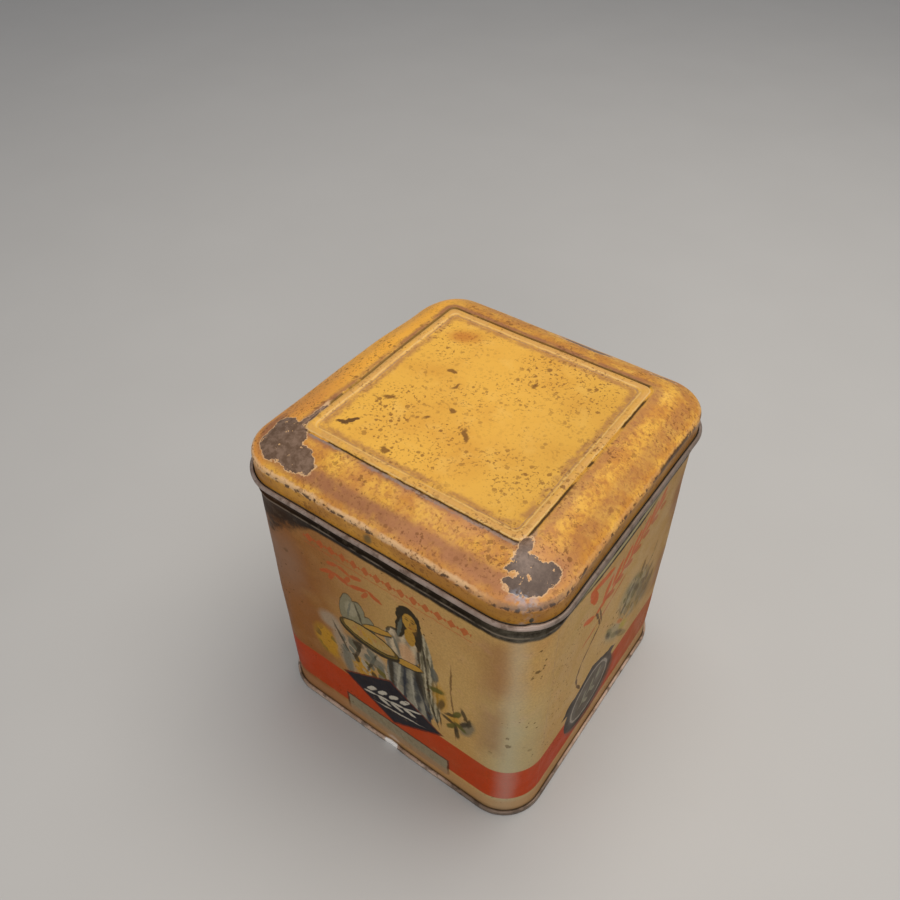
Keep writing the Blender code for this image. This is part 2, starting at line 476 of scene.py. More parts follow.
    def finish(self, roughness, height, depth, metallic=None):
        """Joins the surface up; height is 0 to 1 over depth metres."""
        self.feed(self.shader.inputs["Base Color"], self.color)
        self.feed(self.shader.inputs["Roughness"], roughness)
        if metallic is not None:
            self.feed(self.shader.inputs["Metallic"], metallic)
        node = self.add("ShaderNodeBump")
        node.inputs["Strength"].default_value = 1.0
        node.inputs["Distance"].default_value = depth
        self.feed(node.inputs["Height"], height)
        self.tree.links.new(node.outputs["Normal"], self.shader.inputs["Normal"])
        return self.material


class Print:
    """Ink laid on a material's colour, with places and sizes in millimetres across and up one face."""

    EDGE = 0.3

    def __init__(self, mat, point):
        self.mat, self.point = mat, point

    def local(self, centre, size, turn):
        """The two coordinates in a shape's own turned frame, 1 at its rim."""
        angle = math.radians(turn)
        along = Vector((math.cos(angle), math.sin(angle)))
        aside = Vector((-along.y, along.x))
        middle = Vector(centre)
        result = []
        for direction, reach in ((along, size[0]), (aside, size[1])):
            row = (direction.x / reach, direction.y / reach, -direction.dot(middle) / reach)
            result.append(self.mat.vector("DOT_PRODUCT", self.point, row, output=1))
        return result

    def far(self, centre, size, turn):
        """Distance from an oval's centre, 1 at its rim."""
        a, b = self.local(centre, size, turn)
        squares = self.mat.math("MULTIPLY_ADD", a, a, third=self.mat.math("MULTIPLY", b, b))
        return self.mat.math("SQRT", squares)

    def oval_mask(self, centre, size, turn=0.0, amount=1.0, edge=None):
        soft = (edge or self.EDGE) / min(size)
        return self.mat.ramp(self.far(centre, size, turn), 1 - soft, 1 + soft, amount, 0)

    def oval(self, color, centre, size, turn=0.0, amount=1.0, edge=None):
        self.mat.lay(color, self.oval_mask(centre, size, turn, amount, edge))

    def diamond(self, color, centre, size, amount=1.0):
        a, b = self.local(centre, size, 0)
        far = self.mat.sum(self.mat.math("ABSOLUTE", a), self.mat.math("ABSOLUTE", b))
        soft = self.EDGE / min(size)
        self.mat.lay(color, self.mat.ramp(far, 1 - soft, 1 + soft, amount, 0))

    def box(self, color, low, high, amount=1.0, edge=None):
        centre = ((low[0] + high[0]) / 2, (low[1] + high[1]) / 2)
        size = ((high[0] - low[0]) / 2, (high[1] - low[1]) / 2)
        mask = amount
        for value, reach in zip(self.local(centre, (1, 1), 0), size):
            soft = edge or self.EDGE
            inside = self.mat.ramp(self.mat.math("ABSOLUTE", value), reach - soft, reach + soft, 1, 0)
            mask = self.mat.times(inside, mask)
        self.mat.lay(color, mask)

    def ring(self, color, centre, size, width, turn=0.0, amount=1.0):
        off = self.mat.math("ABSOLUTE", self.mat.minus(self.far(centre, size, turn), 1.0))
        half = width / 2 / min(size)
        soft = self.EDGE / min(size)
        self.mat.lay(color, self.mat.ramp(off, half - soft / 2, half + soft, amount, 0))

    def stroke(self, color, start, end, width, amount=1.0):
        """A brush stroke with pointed ends."""
        run, rise = end[0] - start[0], end[1] - start[1]
        centre = ((start[0] + end[0]) / 2, (start[1] + end[1]) / 2)
        size = (math.hypot(run, rise) / 2, width / 2)
        self.oval(color, centre, size, math.degrees(math.atan2(rise, run)), amount)

    def union(self, amount, edge, *rows):
        """Mask of ovals, each (across, up, half width, half height, turn)."""
        masks = [self.oval_mask((row[0], row[1]), (row[2], row[3]), row[4], amount, edge) for row in rows]
        return self.mat.most(*masks)

    def leaves(self, color, size, amount, *places, edge=None):
        """The same oval at several (across, up, turn)."""
        for across, up, turn in places:
            self.oval(color, (across, up), size, turn, amount, edge)

    def strokes(self, color, width, *points, amount=1.0):
        """A line of brush strokes through the points."""
        for start, end in zip(points, points[1:]):
            self.stroke(color, start, end, width, amount)

    def chain(self, color, start, count, pitch, level, size, amount=1.0):
        """A row of lozenges with a dot after each one."""
        mat = self.mat
        across, up, _ = mat.split(self.point)
        inside = mat.times(mat.band(across, start - pitch / 2, start + (count - 0.5) * pitch, 0.3), amount)
        for shift, reach in ((0, size), (pitch / 2, (size[0] * 0.4, size[1] * 0.4))):
            wrapped = mat.math("WRAP", mat.minus(across, start + shift), pitch / 2, -pitch / 2)
            Print(mat, mat.join(wrapped, up, 1)).diamond(color, (0, level), reach, inside)

    def dabs(self, colors, centre, size, turn=0.0, spacing=3.0, amount=1.0):
        """A soft-edged cluster of brush dabs in a few colours."""
        mat = self.mat
        node = mat.add("ShaderNodeTexVoronoi", feature="F1", voronoi_dimensions="2D")
        leaning = mat.vector("DOT_PRODUCT", self.point, (1.0, 0.35, 0.0), output=1)
        rising = mat.vector("DOT_PRODUCT", self.point, (-0.22, 0.62, 0.0), output=1)
        mat.feed(node.inputs["Vector"], mat.join(leaning, rising))
        node.inputs["Scale"].default_value = 1 / spacing
        chance, edge, _ = mat.split(node.outputs["Color"])
        mixed = colors[0]
        for number, color in enumerate(colors[1:], start=1):
            limit = number / len(colors)
            mixed = mat.mix(mat.ramp(chance, limit - 0.02, limit + 0.02), mixed, color)
        reach = mat.scaled(edge, 0.4, 0.34)
        shape = mat.ramp(mat.minus(reach, node.outputs["Distance"]), -0.08, 0.1)
        area = self.oval_mask(centre, size, turn, amount, 2.5)
        self.mat.lay(mixed, mat.times(area, shape))

    def folds(self, pale, dark, centre, size, turn=0.0, pitch=4.0, lean=0.1):
        """Cloth in upright folds that spread towards the hem."""
        mat = self.mat
        mask = self.oval_mask(centre, size, turn)
        across, up, _ = mat.split(self.point)
        drop = mat.scaled(mat.minus(up, centre[1]), lean, 1.0)
        spread = mat.math("DIVIDE", mat.minus(across, centre[0]), drop)
        wave = mat.math("SINE", mat.scaled(spread, math.tau / pitch, 1.0))
        wave = mat.sum(wave, mat.times(mat.minus(mat.grain(110, 3, shift=12), 0.5), 5.0))
        cloth = mat.mix(mat.ramp(wave, -1.4, 1.4), dark, pale)
        self.mat.lay(cloth, mask)


# Inks
CREAM = (0.51, 0.312, 0.106)
AGED = (0.4, 0.205, 0.06)
LEFT_SHADE_BROWN = (0.27, 0.1, 0.022)
ORANGE = (0.43, 0.043, 0.005)
RED = (0.45, 0.085, 0.02)
NAVY = (0.012, 0.012, 0.018)
BLACK = (0.009, 0.006, 0.004)
DARK = (0.03, 0.022, 0.01)
BROWN = (0.13, 0.065, 0.02)
RUST = (0.15, 0.055, 0.014)
OCHRE = (0.46, 0.23, 0.015)
LEAF = (0.085, 0.08, 0.012)
SLATE = (0.12, 0.125, 0.095)
SKIN = (0.44, 0.235, 0.035)
YELLOW = (0.73, 0.395, 0.06)
WORN = (0.28, 0.115, 0.058)
PRIMER = (0.66, 0.42, 0.22)


def front_picture(ink):
    """A woman in a shawl holding a round tray among plants, under a chain of lozenges and a scroll."""
    ink.chain(RED, -42, 14, 7.2, 161, (2.7, 3.3), 0.8)
    ink.box(RED, (-46, 155.7), (56, 156.5), 0.5)
    ink.strokes(RED, 3, (-32, 149), (-25, 152), (-17, 149.5), (-9, 152), amount=0.85)
    ink.strokes(RED, 3.2, (-38, 139), (-29, 144), (-18, 141), (-6, 146), (3, 142), amount=0.9)
    ink.leaves(RED, (3.8, 1.5), 0.8, (-30, 140, 60), (-19, 145, 60), (-8, 141, 60))

    # Plants and washes behind
    wash = (0.36, 0.31, 0.23)
    ink.oval(wash, (-36, 97), (8, 7), 20, 0.6, 3)
    ink.oval(OCHRE, (-42, 73), (9, 13), 10, 0.9, 2.5)
    ink.oval(wash, (-28, 76), (7, 20), 8, 0.6, 2.5)
    ink.oval(wash, (-11, 85), (14, 9), 0, 0.6, 2.5)
    ink.oval(OCHRE, (-15, 69), (9, 9), 30, 0.8, 2)
    ink.dabs((LEAF, OCHRE, DARK, OCHRE), (-41, 72), (9, 13), 10, 5, 0.6)
    ink.dabs((DARK, SLATE, wash, LEAF, SLATE), (-14, 80), (18, 14), -20, 5.4, 0.85)
    ink.oval(SLATE, (-27, 66), (3.5, 13), 4, 0.75, 1.5)
    ink.stroke(DARK, (-34, 98), (-25, 76), 2, 0.75)
    ink.stroke(DARK, (-15, 92), (-21, 74), 2.6, 0.8)
    ink.stroke(DARK, (-4, 92), (-13, 68), 2.2, 0.75)
    ink.oval(DARK, (-17, 90), (4, 2.6), 20, 0.7, 1)
    ink.oval(SLATE, (-6, 83), (8, 4), 15, 0.7, 1.2)

    # Bundle at the left
    for color, grow in ((DARK, 0.8), ((0.25, 0.22, 0.13), 0)):
        ink.stroke(color, (-24, 107 - grow), (-20, 132 + grow), 9.5 + grow, 0.85)
        ink.stroke(color, (-17, 105 - grow), (-14, 130 + grow), 11 + grow, 0.95)
        ink.stroke(color, (-10, 105 - grow), (-7, 122 + grow), 9.5 + grow, 0.9)
    ink.oval((0.36, 0.31, 0.2), (-19, 121), (4, 6), -8, 0.7, 1.2)
    ink.stroke(DARK, (-16, 128), (-12, 112), 1.8, 0.7)
    ink.stroke(SLATE, (-22, 112), (-19, 127), 1.4, 0.7)

    # Skirt and shawl
    ink.folds((0.26, 0.235, 0.17), (0.055, 0.057, 0.055), (18, 80), (15.5, 31), 4, 8.5, 0.006)
    ink.strokes((0.38, 0.35, 0.26), 1.8, (12, 98), (9, 76), (8, 56), amount=0.8)
    ink.strokes((0.36, 0.33, 0.25), 1.6, (19, 96), (20, 74), (23, 54), amount=0.75)
    ink.strokes((0.02, 0.024, 0.034), 2, (15, 98), (14, 78), (14, 56), amount=0.85)
    ink.strokes((0.02, 0.024, 0.034), 2.6, (22, 98), (27, 76), (31, 56), amount=0.85)
    ink.oval(DARK, (25.5, 92), (3.4, 15), 12, 0.75, 1.2)
    ink.oval(DARK, (5.5, 88), (1.6, 17), 0, 0.8, 0.5)
    ink.folds((0.4, 0.34, 0.22), (0.13, 0.11, 0.06), (31, 100), (4.8, 38), 6, 3, 0.002)
    ink.strokes(DARK, 1.4, (25, 149), (27, 128), (29, 104), (31, 80), (36, 58), amount=0.9)
    ink.strokes(DARK, 1.2, (30, 118), (35, 98), (36, 78), (38, 62), amount=0.8)
    ink.oval((0.1, 0.1, 0.08), (34, 108), (2.4, 6), 8, 0.85, 0.5)

    # Blouse and arms
    ink.folds((0.52, 0.4, 0.25), (0.22, 0.18, 0.12), (14, 116), (11.5, 13), 10, 6.5, 0.01)
    ink.oval((0.54, 0.3, 0.14), (17, 111), (5, 9), 6, 0.8, 1.5)
    ink.strokes(DARK, 2.2, (11, 128), (6.5, 127), (4.5, 122), (7, 117), amount=0.85)
    ink.stroke(SLATE, (8, 122), (13, 106), 2, 0.8)
    ink.stroke(DARK, (24, 124), (25, 104), 1.6, 0.8)
    ink.oval(DARK, (-2, 116.2), (11, 3), 20, 0.9)
    ink.oval(SKIN, (-2, 116.4), (10.2, 2.1), 20, 1)
    ink.oval(DARK, (17, 102), (10.5, 3.6), 14, 0.9)
    ink.oval(SKIN, (17, 102.3), (9.6, 2.6), 14, 1)

    # Head, hair and shawl over it, with a plain face
    ink.oval(DARK, (19, 142.5), (7.4, 10.2), 3, 1)
    ink.oval(DARK, (13.8, 133), (3.2, 10), -8, 1)
    ink.oval(DARK, (24.2, 132), (2.4, 12), 3, 1)
    ink.oval(SLATE, (13.2, 132), (1.2, 9), -10, 0.8)
    ink.oval((0.4, 0.21, 0.03), (19.6, 128.5), (3.4, 7), 0, 1)
    ink.oval(SKIN, (19.8, 140.6), (4.3, 6.9), 2, 1)
    ink.oval((0.3, 0.14, 0.02), (22, 139.5), (1.7, 5.6), 6, 0.55, 1)
    for x in (18.1, 21.7):
        ink.oval(DARK, (x, 142), (1, 0.5), 0, 0.85)
        ink.oval(DARK, (x, 143.9), (1.3, 0.4), 0, 0.7)
    ink.oval(BROWN, (19.9, 139.4), (0.6, 1.2), 0, 0.6)
    ink.oval((0.25, 0.05, 0.015), (19.9, 136.6), (1.3, 0.55), 0, 0.85)

    # Tray
    ink.oval(DARK, (-8.5, 102.8), (20.5, 9.4), -3, 1)
    ink.oval((0.14, 0.09, 0.012), (-8.5, 103.8), (19, 7.6), -3, 1)
    ink.oval(DARK, (-8.5, 104.6), (18.2, 7), -3, 1)
    ink.oval((0.4, 0.25, 0.07), (-8.5, 104.8), (17.2, 6.2), -3, 1)
    ink.dabs((OCHRE, (0.44, 0.3, 0.12), (0.4, 0.18, 0.06)), (-8, 104.8), (14, 4.6), -3, 3, 0.7)

    # Plant at the right
    ink.strokes(BROWN, 1.2, (44, 124), (44, 100), (46, 80), (47, 58), amount=0.8)
    ink.oval(OCHRE, (37, 90), (4.5, 11), 5, 0.7, 2)
    ink.oval(LEAF, (35, 95), (5, 2.2), 20, 0.9, 0.8)
    ink.oval(DARK, (38, 84), (6, 2), 80, 0.75, 0.8)
    ink.oval(SLATE, (54, 76), (4, 9), -20, 0.75, 1.5)
    ink.oval(OCHRE, (46, 76), (4, 6), 0, 0.7, 1.5)
    ink.leaves(
        DARK, (4.6, 1.5), 0.85, (52, 88, 110), (44, 80, 30), (42, 74, -20), (52, 78, 60), (47, 70, 100),
        (55, 82, 80), (48, 64, 95), edge=0.6,
    )
    ink.leaves(LEAF, (4.4, 1.8), 0.9, (48, 84, 60), (50, 73, 150), (44, 69, 60), edge=0.6)


def front_emblem(ink):
    """The lozenge over the band, with a plain sprig, and the label box in the band's lower half."""
    ink.box(DARK, (-32.6, 10), (42.6, 27.6), 0.8, 0.4)
    ink.box((0.25, 0.205, 0.125), (-31.2, 9), (41.2, 26.2), 1, 0.4)
    ink.dabs(((0.17, 0.13, 0.075), (0.31, 0.27, 0.18)), (5, 16), (34, 8), 0, 3.5, 0.25)
    # Pale spot above the foot's knock: a painted highlight where the dented wall catches the light
    ink.oval((0.75, 0.7, 0.62), (2, 6), (4, 4.5), 20, 0.7, 1.5)
    ink.diamond((0.12, 0.016, 0.008), (3.5, 51.5), (35.8, 23.2), 0.9)
    ink.diamond(NAVY, (3.5, 51.5), (33.4, 21.6))
    light = (0.5, 0.45, 0.36)
    ink.strokes(light, 1.9, (-17, 45), (-8, 48), (2, 51), (12, 54), (24, 60), amount=0.95)
    ink.leaves(light, (4.8, 1.6), 0.95, (-11, 52, 44), (-3, 55, 44), (5, 58, 44), (13, 60.5, 44))
    ink.leaves(light, (4.4, 1.4), 0.95, (-2, 46.6, -8), (7, 49.4, -8), (16, 52.8, -8))
    ink.stroke(light, (-8, 40.2), (23, 46.6), 1.4, 0.9)


def side_picture(ink):
    """A rising orange laurel, a cluster of slate and olive leaves, and a string down to a round tag."""
    bright = (0.54, 0.105, 0.018)
    ink.strokes(RED, 2.4, (-37, 117), (-22, 121), (-8, 126), (6, 132), amount=0.7)
    ink.oval(bright, (-33, 155), (10, 3.2), -64, 1)
    ink.oval(bright, (-25, 160), (12, 2.6), -14, 0.95)
    ink.strokes(
        bright, 4.2, (-40, 141), (-28, 133), (-12, 136), (4, 143), (20, 150), (44, 160), amount=0.95
    )
    for step in range(7):
        x, y = -16 + 9.0 * step, 144 + 3.0 * step
        ink.oval(bright, (x, y), (8.5 - 0.4 * step, 2.7), 66 - 3 * step, 0.95)
        ink.oval(RED, (x + 4, y - 9.5), (6.5 - 0.4 * step, 2.2), -28 + 3 * step, 0.8)

    ink.strokes(
        BROWN, 2, (-26, 134), (-21, 124), (-18, 116), (-27, 107), (-34, 99), (-37, 89), (-35, 80),
        (-29, 69),
    )
    ink.stroke(BROWN, (-22, 134), (-16, 116), 1.5, 0.9)

    gray, olive = (0.31, 0.275, 0.165), (0.155, 0.135, 0.05)
    ink.oval(gray, (22, 102), (16, 11), -25, 0.75, 5)
    ink.oval(olive, (37, 86), (20, 13), -48, 0.6, 6)
    ink.dabs((DARK, olive, gray, olive, LEAF, (0.18, 0.165, 0.1)), (30, 91), (25, 17), -42, 5, 0.7)
    ink.oval(DARK, (44, 79), (15, 6), -52, 0.5, 4)
    ink.leaves(
        DARK, (5, 2), 0.65, (20, 104, 40), (33, 111, 75), (14, 95, 60), (28, 98, -50), (46, 96, 50),
        (52, 84, 80), edge=1,
    )
    ink.strokes(LEAF, 2.6, (40, 104), (47, 110), (49, 118), amount=0.5)
    ink.oval(gray, (6, 80), (17, 6), -50, 0.7, 3)
    ink.strokes(olive, 4.4, (-5, 95), (3, 81), (14, 69), (29, 53), amount=0.6)
    ink.oval(DARK, (-2, 86), (6, 2), -60, 0.65, 1)
    ink.oval(DARK, (15, 70), (8, 1.8), -45, 0.6, 1)
    ink.oval((0.42, 0.34, 0.04), (20, 72), (8, 3), -42, 0.7, 1.5)
    ink.oval(OCHRE, (30, 66), (7, 3), -38, 0.6, 1.5)
    ink.oval((0.5, 0.15, 0.02), (12, 84), (6, 1.8), -48, 0.85, 0.6)


def side_emblem(ink):
    """The round tag over the band: a dark pointed shield, a pale ring and a plain sprig."""
    shade = (0.04, 0.03, 0.022)
    ink.oval((0.1, 0.045, 0.025), (-11, 38), (28, 22), 0, 0.8, 2)
    ink.oval(shade, (-14.5, 45), (27.5, 23.5))
    ink.diamond(shade, (-16, 58), (31, 16))
    ink.oval(shade, (-37, 60), (6, 5.5), -20)
    ink.oval(shade, (6, 58), (6, 5.5), 20)
    ink.oval((0.105, 0.085, 0.062), (-14, 46), (22.5, 20), 0, 1, 1.5)
    ink.ring((0.36, 0.31, 0.25), (-14, 46), (20.5, 18.5), 1.5, 0, 0.75)
    light = (0.27, 0.25, 0.17)
    ink.strokes(light, 1.8, (-26, 42), (-17, 45), (-8, 47), (1, 51), amount=0.8)
    ink.leaves(
        light, (4.4, 1.6), 0.8, (-20, 48, 60), (-12, 50, 62), (-4, 53, 62), (-17, 40, -45), (-9, 42, -45)
    )


def body_paint(name, picture=None, emblem=None):
    """Aged cream print with the orange band, a black worn band under the lid, stains and a few specks,
    with painted sheen and highlights round the front corner and painted shade towards the left.
    """
    mat = Paint(name, CREAM, specular=0.03, coat=0.04, coat_roughness=0.35)
    x, y, z = mat.axes
    up = mat.times(z, 1000)
    across = mat.attribute("across")
    wobble = mat.minus(mat.grain(60, 2), 0.5)
    front = mat.ramp(y, -0.05, -0.08)
    right = mat.ramp(x, 0.05, 0.08)

    # Cream, browner with age in clouds; darker and browner towards the left of the front, partly with age
    # and partly painted shade and orange bounce light
    mat.lay(AGED, mat.blots(16, 4, 0.38, 0.7, 0.55))
    mat.lay((0.44, 0.275, 0.075), mat.blots(60, 4, 0.46, 0.75, 0.45, rough=0.6, shift=3))
    mat.lay((0.56, 0.31, 0.15), mat.blots(110, 3, 0.52, 0.75, 0.4, rough=0.6, shift=13))
    mat.lay(
        (0.47, 0.21, 0.065), mat.ramp(up, 120, 165), mat.blots(20, 4, 0.35, 0.65, shift=26), front, 0.7
    )
    # Towards the left of the front: painted shade and orange bounce light, with some browning of the print
    left_shade_and_tan = mat.times(mat.ramp(x, 0.02, -0.07), front, 1.1)
    left_shade_and_tan = mat.sum(left_shade_and_tan, mat.times(wobble, left_shade_and_tan, 0.8))
    mat.lay(LEFT_SHADE_BROWN, left_shade_and_tan)

    if picture:
        ink = Print(mat, mat.by_hand(across, up, 250, 2))
        picture(ink)

    # Orange band, uneven at its lower edge
    low_edge = mat.sum(17.5, mat.times(wobble, 1.5))
    band_mask = mat.times(mat.ramp(mat.minus(up, low_edge), -0.6, 0.6), mat.ramp(up, 48.9, 49.9, 1, 0))
    faded = mat.mix(mat.blots(30, 4, 0.45, 0.75, 0.5, shift=7), ORANGE, (0.36, 0.066, 0.016))
    mat.lay(faded, band_mask)
    if emblem:
        emblem(ink)

    # Fine litho grain, rubs, soot, and print rubbed pale down the front corner with a painted sheen of the
    # light there
    mat.lay((0.06, 0.035, 0.012), mat.blots(900, 3, 0.3, 0.7, 0.22))
    rub = mat.blots(150, 5, 0.6, 0.74, 0.22, rough=0.7, shift=2)
    mat.lay((0.46, 0.27, 0.11), rub)
    # Pale streak down the front corner: print rubbed there, and a painted sheen of the light
    from_line = mat.math("ABSOLUTE", mat.minus(across, CORNER_MIDDLE - 4.5))
    corner_rub_and_sheen = mat.ramp(mat.sum(from_line, mat.times(wobble, 6)), 10, 0, 0, 0.26)
    front_corner = mat.times(mat.ramp(x, 0.055, 0.066), mat.ramp(y, -0.055, -0.066))
    mat.lay((0.4, 0.42, 0.37), corner_rub_and_sheen, front_corner)

    # Cooler round the front corner's lower part, a painted sheen of the light there; browner towards the
    # far end of the right side
    mat.lay(
        (0.32, 0.37, 0.25), mat.ramp(x, 0.055, 0.075), mat.ramp(y, -0.06, -0.078), mat.ramp(up, 150, 80),
        mat.minus(1, band_mask), 0.35,
    )
    mat.lay((0.3, 0.15, 0.035), mat.ramp(y, -0.01, 0.07), right, 0.4)

    # Brown stain down the far end of each side, smudge and drips by the front corner
    stain = mat.times(
        mat.band(across, 58, 74, 5), mat.band(up, 60, 168, 8), mat.blots(26, 4, 0.34, 0.6, shift=16)
    )
    mat.lay((0.22, 0.085, 0.04), stain, right, 0.65)
    ink = Print(mat, mat.by_hand(across, up, 200, 4, 4))
    smudge = ink.oval_mask((-70, 127), (2.6, 10), 0, 1, 1.5)
    drips = ink.oval_mask((-82, 92), (1.8, 16), 2, 1, 1.2)
    smudge = mat.most(smudge, mat.times(drips, mat.blots(500, 2, 0.48, 0.6, shift=17)))
    mat.lay(BROWN, smudge, right, 0.65)

    haze = Print(mat, mat.join(mat.times(x, 1000), up, 1)).oval_mask((-66, 128), (14, 24), 0, 0.5, 9)
    mat.lay((0.25, 0.155, 0.105), haze, front)

    # Foot: brownish strip, darker down against the seam
    mat.lay((0.38, 0.19, 0.085), mat.ramp(up, 18, 12, 0, 0.55))
    mat.lay((0.12, 0.07, 0.035), mat.ramp(mat.sum(up, mat.times(wobble, 4)), 7.5, 3.5, 0, 0.5))

    # Specks
    spots = mat.times(mat.specks(130, 0.26), mat.blots(20, 2, 0.5, 0.66, shift=4))
    tiny = mat.times(mat.specks(420, 0.34, shift=6), mat.blots(25, 2, 0.48, 0.66, shift=8))
    marks = mat.most(spots, tiny)
    mat.lay((0.07, 0.038, 0.014), marks, 0.75)

    # Black band below the lid, wider at the left corner
    corner = mat.times(mat.ramp(x, -0.035, -0.075), front)
    dip = mat.times(mat.ramp(x, 0.076, 0.084), mat.band(y, -0.044, 0.03, 0.016))
    edge = mat.sum(mat.sum(mat.times(corner, -17), mat.times(dip, -3)), 169.3)
    ragged = mat.times(mat.minus(mat.grain(120, 5, 0.65), 0.5), mat.sum(2.5, mat.times(corner, 40)))
    fade = mat.scaled(corner, 8, 1)
    above = mat.minus(up, mat.sum(edge, ragged))
    band = mat.ramp(mat.math("DIVIDE", above, fade), -1, 1)
    band_color = mat.mix(mat.blots(300, 4, 0.52, 0.72), BLACK, (0.04, 0.03, 0.02))
    # Painted highlight along the stop bead's crest
    bead_shine = mat.times(mat.band(up, 173.2, 174.2, 0.3), mat.blots(90, 4, 0.36, 0.56, shift=5))
    band_color = mat.mix(mat.times(bead_shine, 0.7), band_color, (0.24, 0.19, 0.14))
    pale_streak = mat.times(dip, mat.band(mat.sum(up, wobble), 168.2, 170.4, 0.7), 0.85)
    band_color = mat.mix(pale_streak, band_color, (0.45, 0.37, 0.175))
    # Greyer near the front corner: the black worn thin there, with a painted sheen of the light on the
    # rounded corner
    thin = mat.times(
        mat.ramp(x, 0.052, 0.076), mat.ramp(y, -0.054, -0.078), 0.6,
        mat.blots(140, 5, 0.3, 0.75, rough=0.7, shift=28),
    )
    band_color = mat.mix(thin, band_color, (0.17, 0.15, 0.11))
    mat.lay(band_color, band, mat.scaled(corner, -0.12, 0.98))

    rough = mat.blots(70, 4, 0.3, 0.7, 0.52, shift=1, least=0.34)
    rough = mat.sum(rough, mat.times(mat.most(marks, rub), 0.25))
    height = mat.minus(mat.times(mat.grain(500, 3), 0.35), mat.times(marks, 0.5))
    return mat.finish(rough, height, 0.06 * MM)


def lid_paint():
    """Yellow ochre print with rust specks, worn along every fold down to primer and bare metal, with a
    painted glint at the front corner and painted shade against the curl.
    """
    mat = Paint("worn_yellow_print", YELLOW, specular=0.16, coat=0.08, coat_roughness=0.3)
    run = mat.attribute("run")
    x, y, _ = mat.axes
    jitter = mat.times(mat.minus(mat.grain(300, 4, 0.6), 0.5), 3.2)
    run_rough = mat.sum(run, jitter)
    front = mat.ramp(y, -0.04, -0.066)
    right = mat.ramp(x, 0.05, 0.066)

    mat.lay((0.54, 0.23, 0.03), mat.blots(24, 4, 0.42, 0.75, 0.55))
    mat.lay((0.78, 0.46, 0.1), mat.blots(90, 4, 0.5, 0.75, 0.5, shift=2))

    # Shoulder, deeper orange in patches; panel duller towards the right
    shoulder = mat.ramp(run, -0.5, 2)
    duller = mat.times(mat.ramp(x, 0, 0.055, 0, 0.35), mat.minus(1, shoulder))
    mat.lay((0.5, 0.27, 0.04), duller)
    left = mat.scaled(mat.ramp(x, -0.05, -0.066), -0.6, 1)
    patches = mat.times(shoulder, left, mat.blots(60, 5, 0.36, 0.6, rough=0.7, shift=4))
    mat.lay((0.47, 0.18, 0.03), patches, 0.75)
    mat.lay(
        (0.36, 0.135, 0.035), shoulder, left, mat.blots(420, 4, 0.48, 0.62, rough=0.65, shift=18), 0.55
    )
    clean = mat.mix(mat.ramp(y, 0.01, -0.05), (0.95, 0.44, 0.042), (0.66, 0.25, 0.045))
    mat.lay(clean, shoulder, mat.ramp(x, -0.062, -0.072), 0.7)

    # Purple-brown wear beside the ridge, round the groove and on the shoulder's knee
    blotch = mat.blots(130, 5, 0.3, 0.54, rough=0.65, shift=6)
    inner_line = mat.times(mat.band(mat.sum(run_rough, jitter), -10, -6.8, 1.6), blotch, 0.75)
    wide = mat.scaled(right, 2, 3)
    beyond = mat.ramp(mat.minus(run_rough, wide), -1.5, 1.5, 1, 0)
    outer_line = mat.times(
        mat.ramp(run_rough, -0.4, 0.8), beyond, mat.blots(60, 4, 0.3, 0.54, shift=8, least=0.25),
        mat.scaled(right, -0.45, 1),
    )
    knee_amount = mat.most(front, mat.times(right, 0.45), 0.18)
    knee = mat.times(
        mat.band(run_rough, 14, 22.5, 2.5), knee_amount, mat.blots(50, 5, 0.26, 0.48, rough=0.6, shift=9)
    )
    wear = mat.most(inner_line, outer_line, knee)
    mat.lay(WORN, wear, 0.85)

    # Front of the shoulder rubbed pinkish towards its right end
    mat.lay(
        (0.5, 0.225, 0.105), shoulder, front, mat.ramp(x, -0.06, 0.06, 0.15, 1),
        mat.blots(45, 5, 0.32, 0.6, rough=0.65, shift=22), 0.6,
    )

    # Ridge crest pale and rubbed, groove dark and broken, bare glint outside it at the front
    light_line, gray_line = (0.7, 0.45, 0.17), (0.34, 0.19, 0.11)
    gentle = mat.scaled(jitter, 0.35, run)
    crest = mat.times(
        mat.band(gentle, -5.6, -1.8, 0.6), mat.blots(90, 4, 0.3, 0.55, 0.8, shift=3, least=0.25)
    )
    mat.lay((0.56, 0.3, 0.09), crest)
    for middle, tint, strength, shift in (
        (-2.1, light_line, 0.9, 19), (-6.9, gray_line, 0.75, 24), (-5.7, light_line, 0.8, 23)
    ):
        drawn = mat.band(gentle, middle - 0.35, middle + 0.35, 0.3)
        mat.lay(tint, drawn, mat.blots(70, 4, 0.32, 0.52, shift=shift), strength)
    whole = mat.most(
        mat.ramp(y, 0.025, 0.029), mat.ramp(y, -0.017, -0.021), mat.band(y, -0.006, -0.001, 0.001),
        mat.minus(1, right),
    )
    groove = mat.times(mat.band(gentle, -1.6, 0.45, 0.35), mat.blots(38, 4, 0.3, 0.38, shift=5), whole)
    depth = mat.scaled(mat.most(front, right), 0.22, 0.72)
    mat.lay((0.03, 0.014, 0.006), groove, depth)
    glint = mat.times(mat.band(run_rough, 0.2, 1.6, 0.5), front, mat.blots(45, 4, 0.38, 0.5, shift=20))
    mat.lay((0.24, 0.19, 0.17), glint, 0.75)

    # Turned-over edge: primer with dark chips
    edge = mat.times(
        mat.band(run_rough, 25.2, 28.2, 0.8), mat.blots(100, 4, 0.32, 0.5, rough=0.6, shift=7, least=0.4)
    )
    edge_amount = mat.scaled(right, -0.7, 0.9)
    mat.lay(PRIMER, edge, edge_amount)
    chips = mat.times(mat.band(run_rough, 26.8, 29.4, 0.5), mat.blots(240, 3, 0.5, 0.57, shift=1))
    mat.lay((0.06, 0.03, 0.014), chips, 0.9)
    mat.lay(
        (0.05, 0.026, 0.014), mat.band(run_rough, 26.2, 29.8, 0.7), right,
        mat.band(y, 0.016, 0.066, 0.008), mat.blots(55, 4, 0.4, 0.5, shift=27), 0.9,
    )
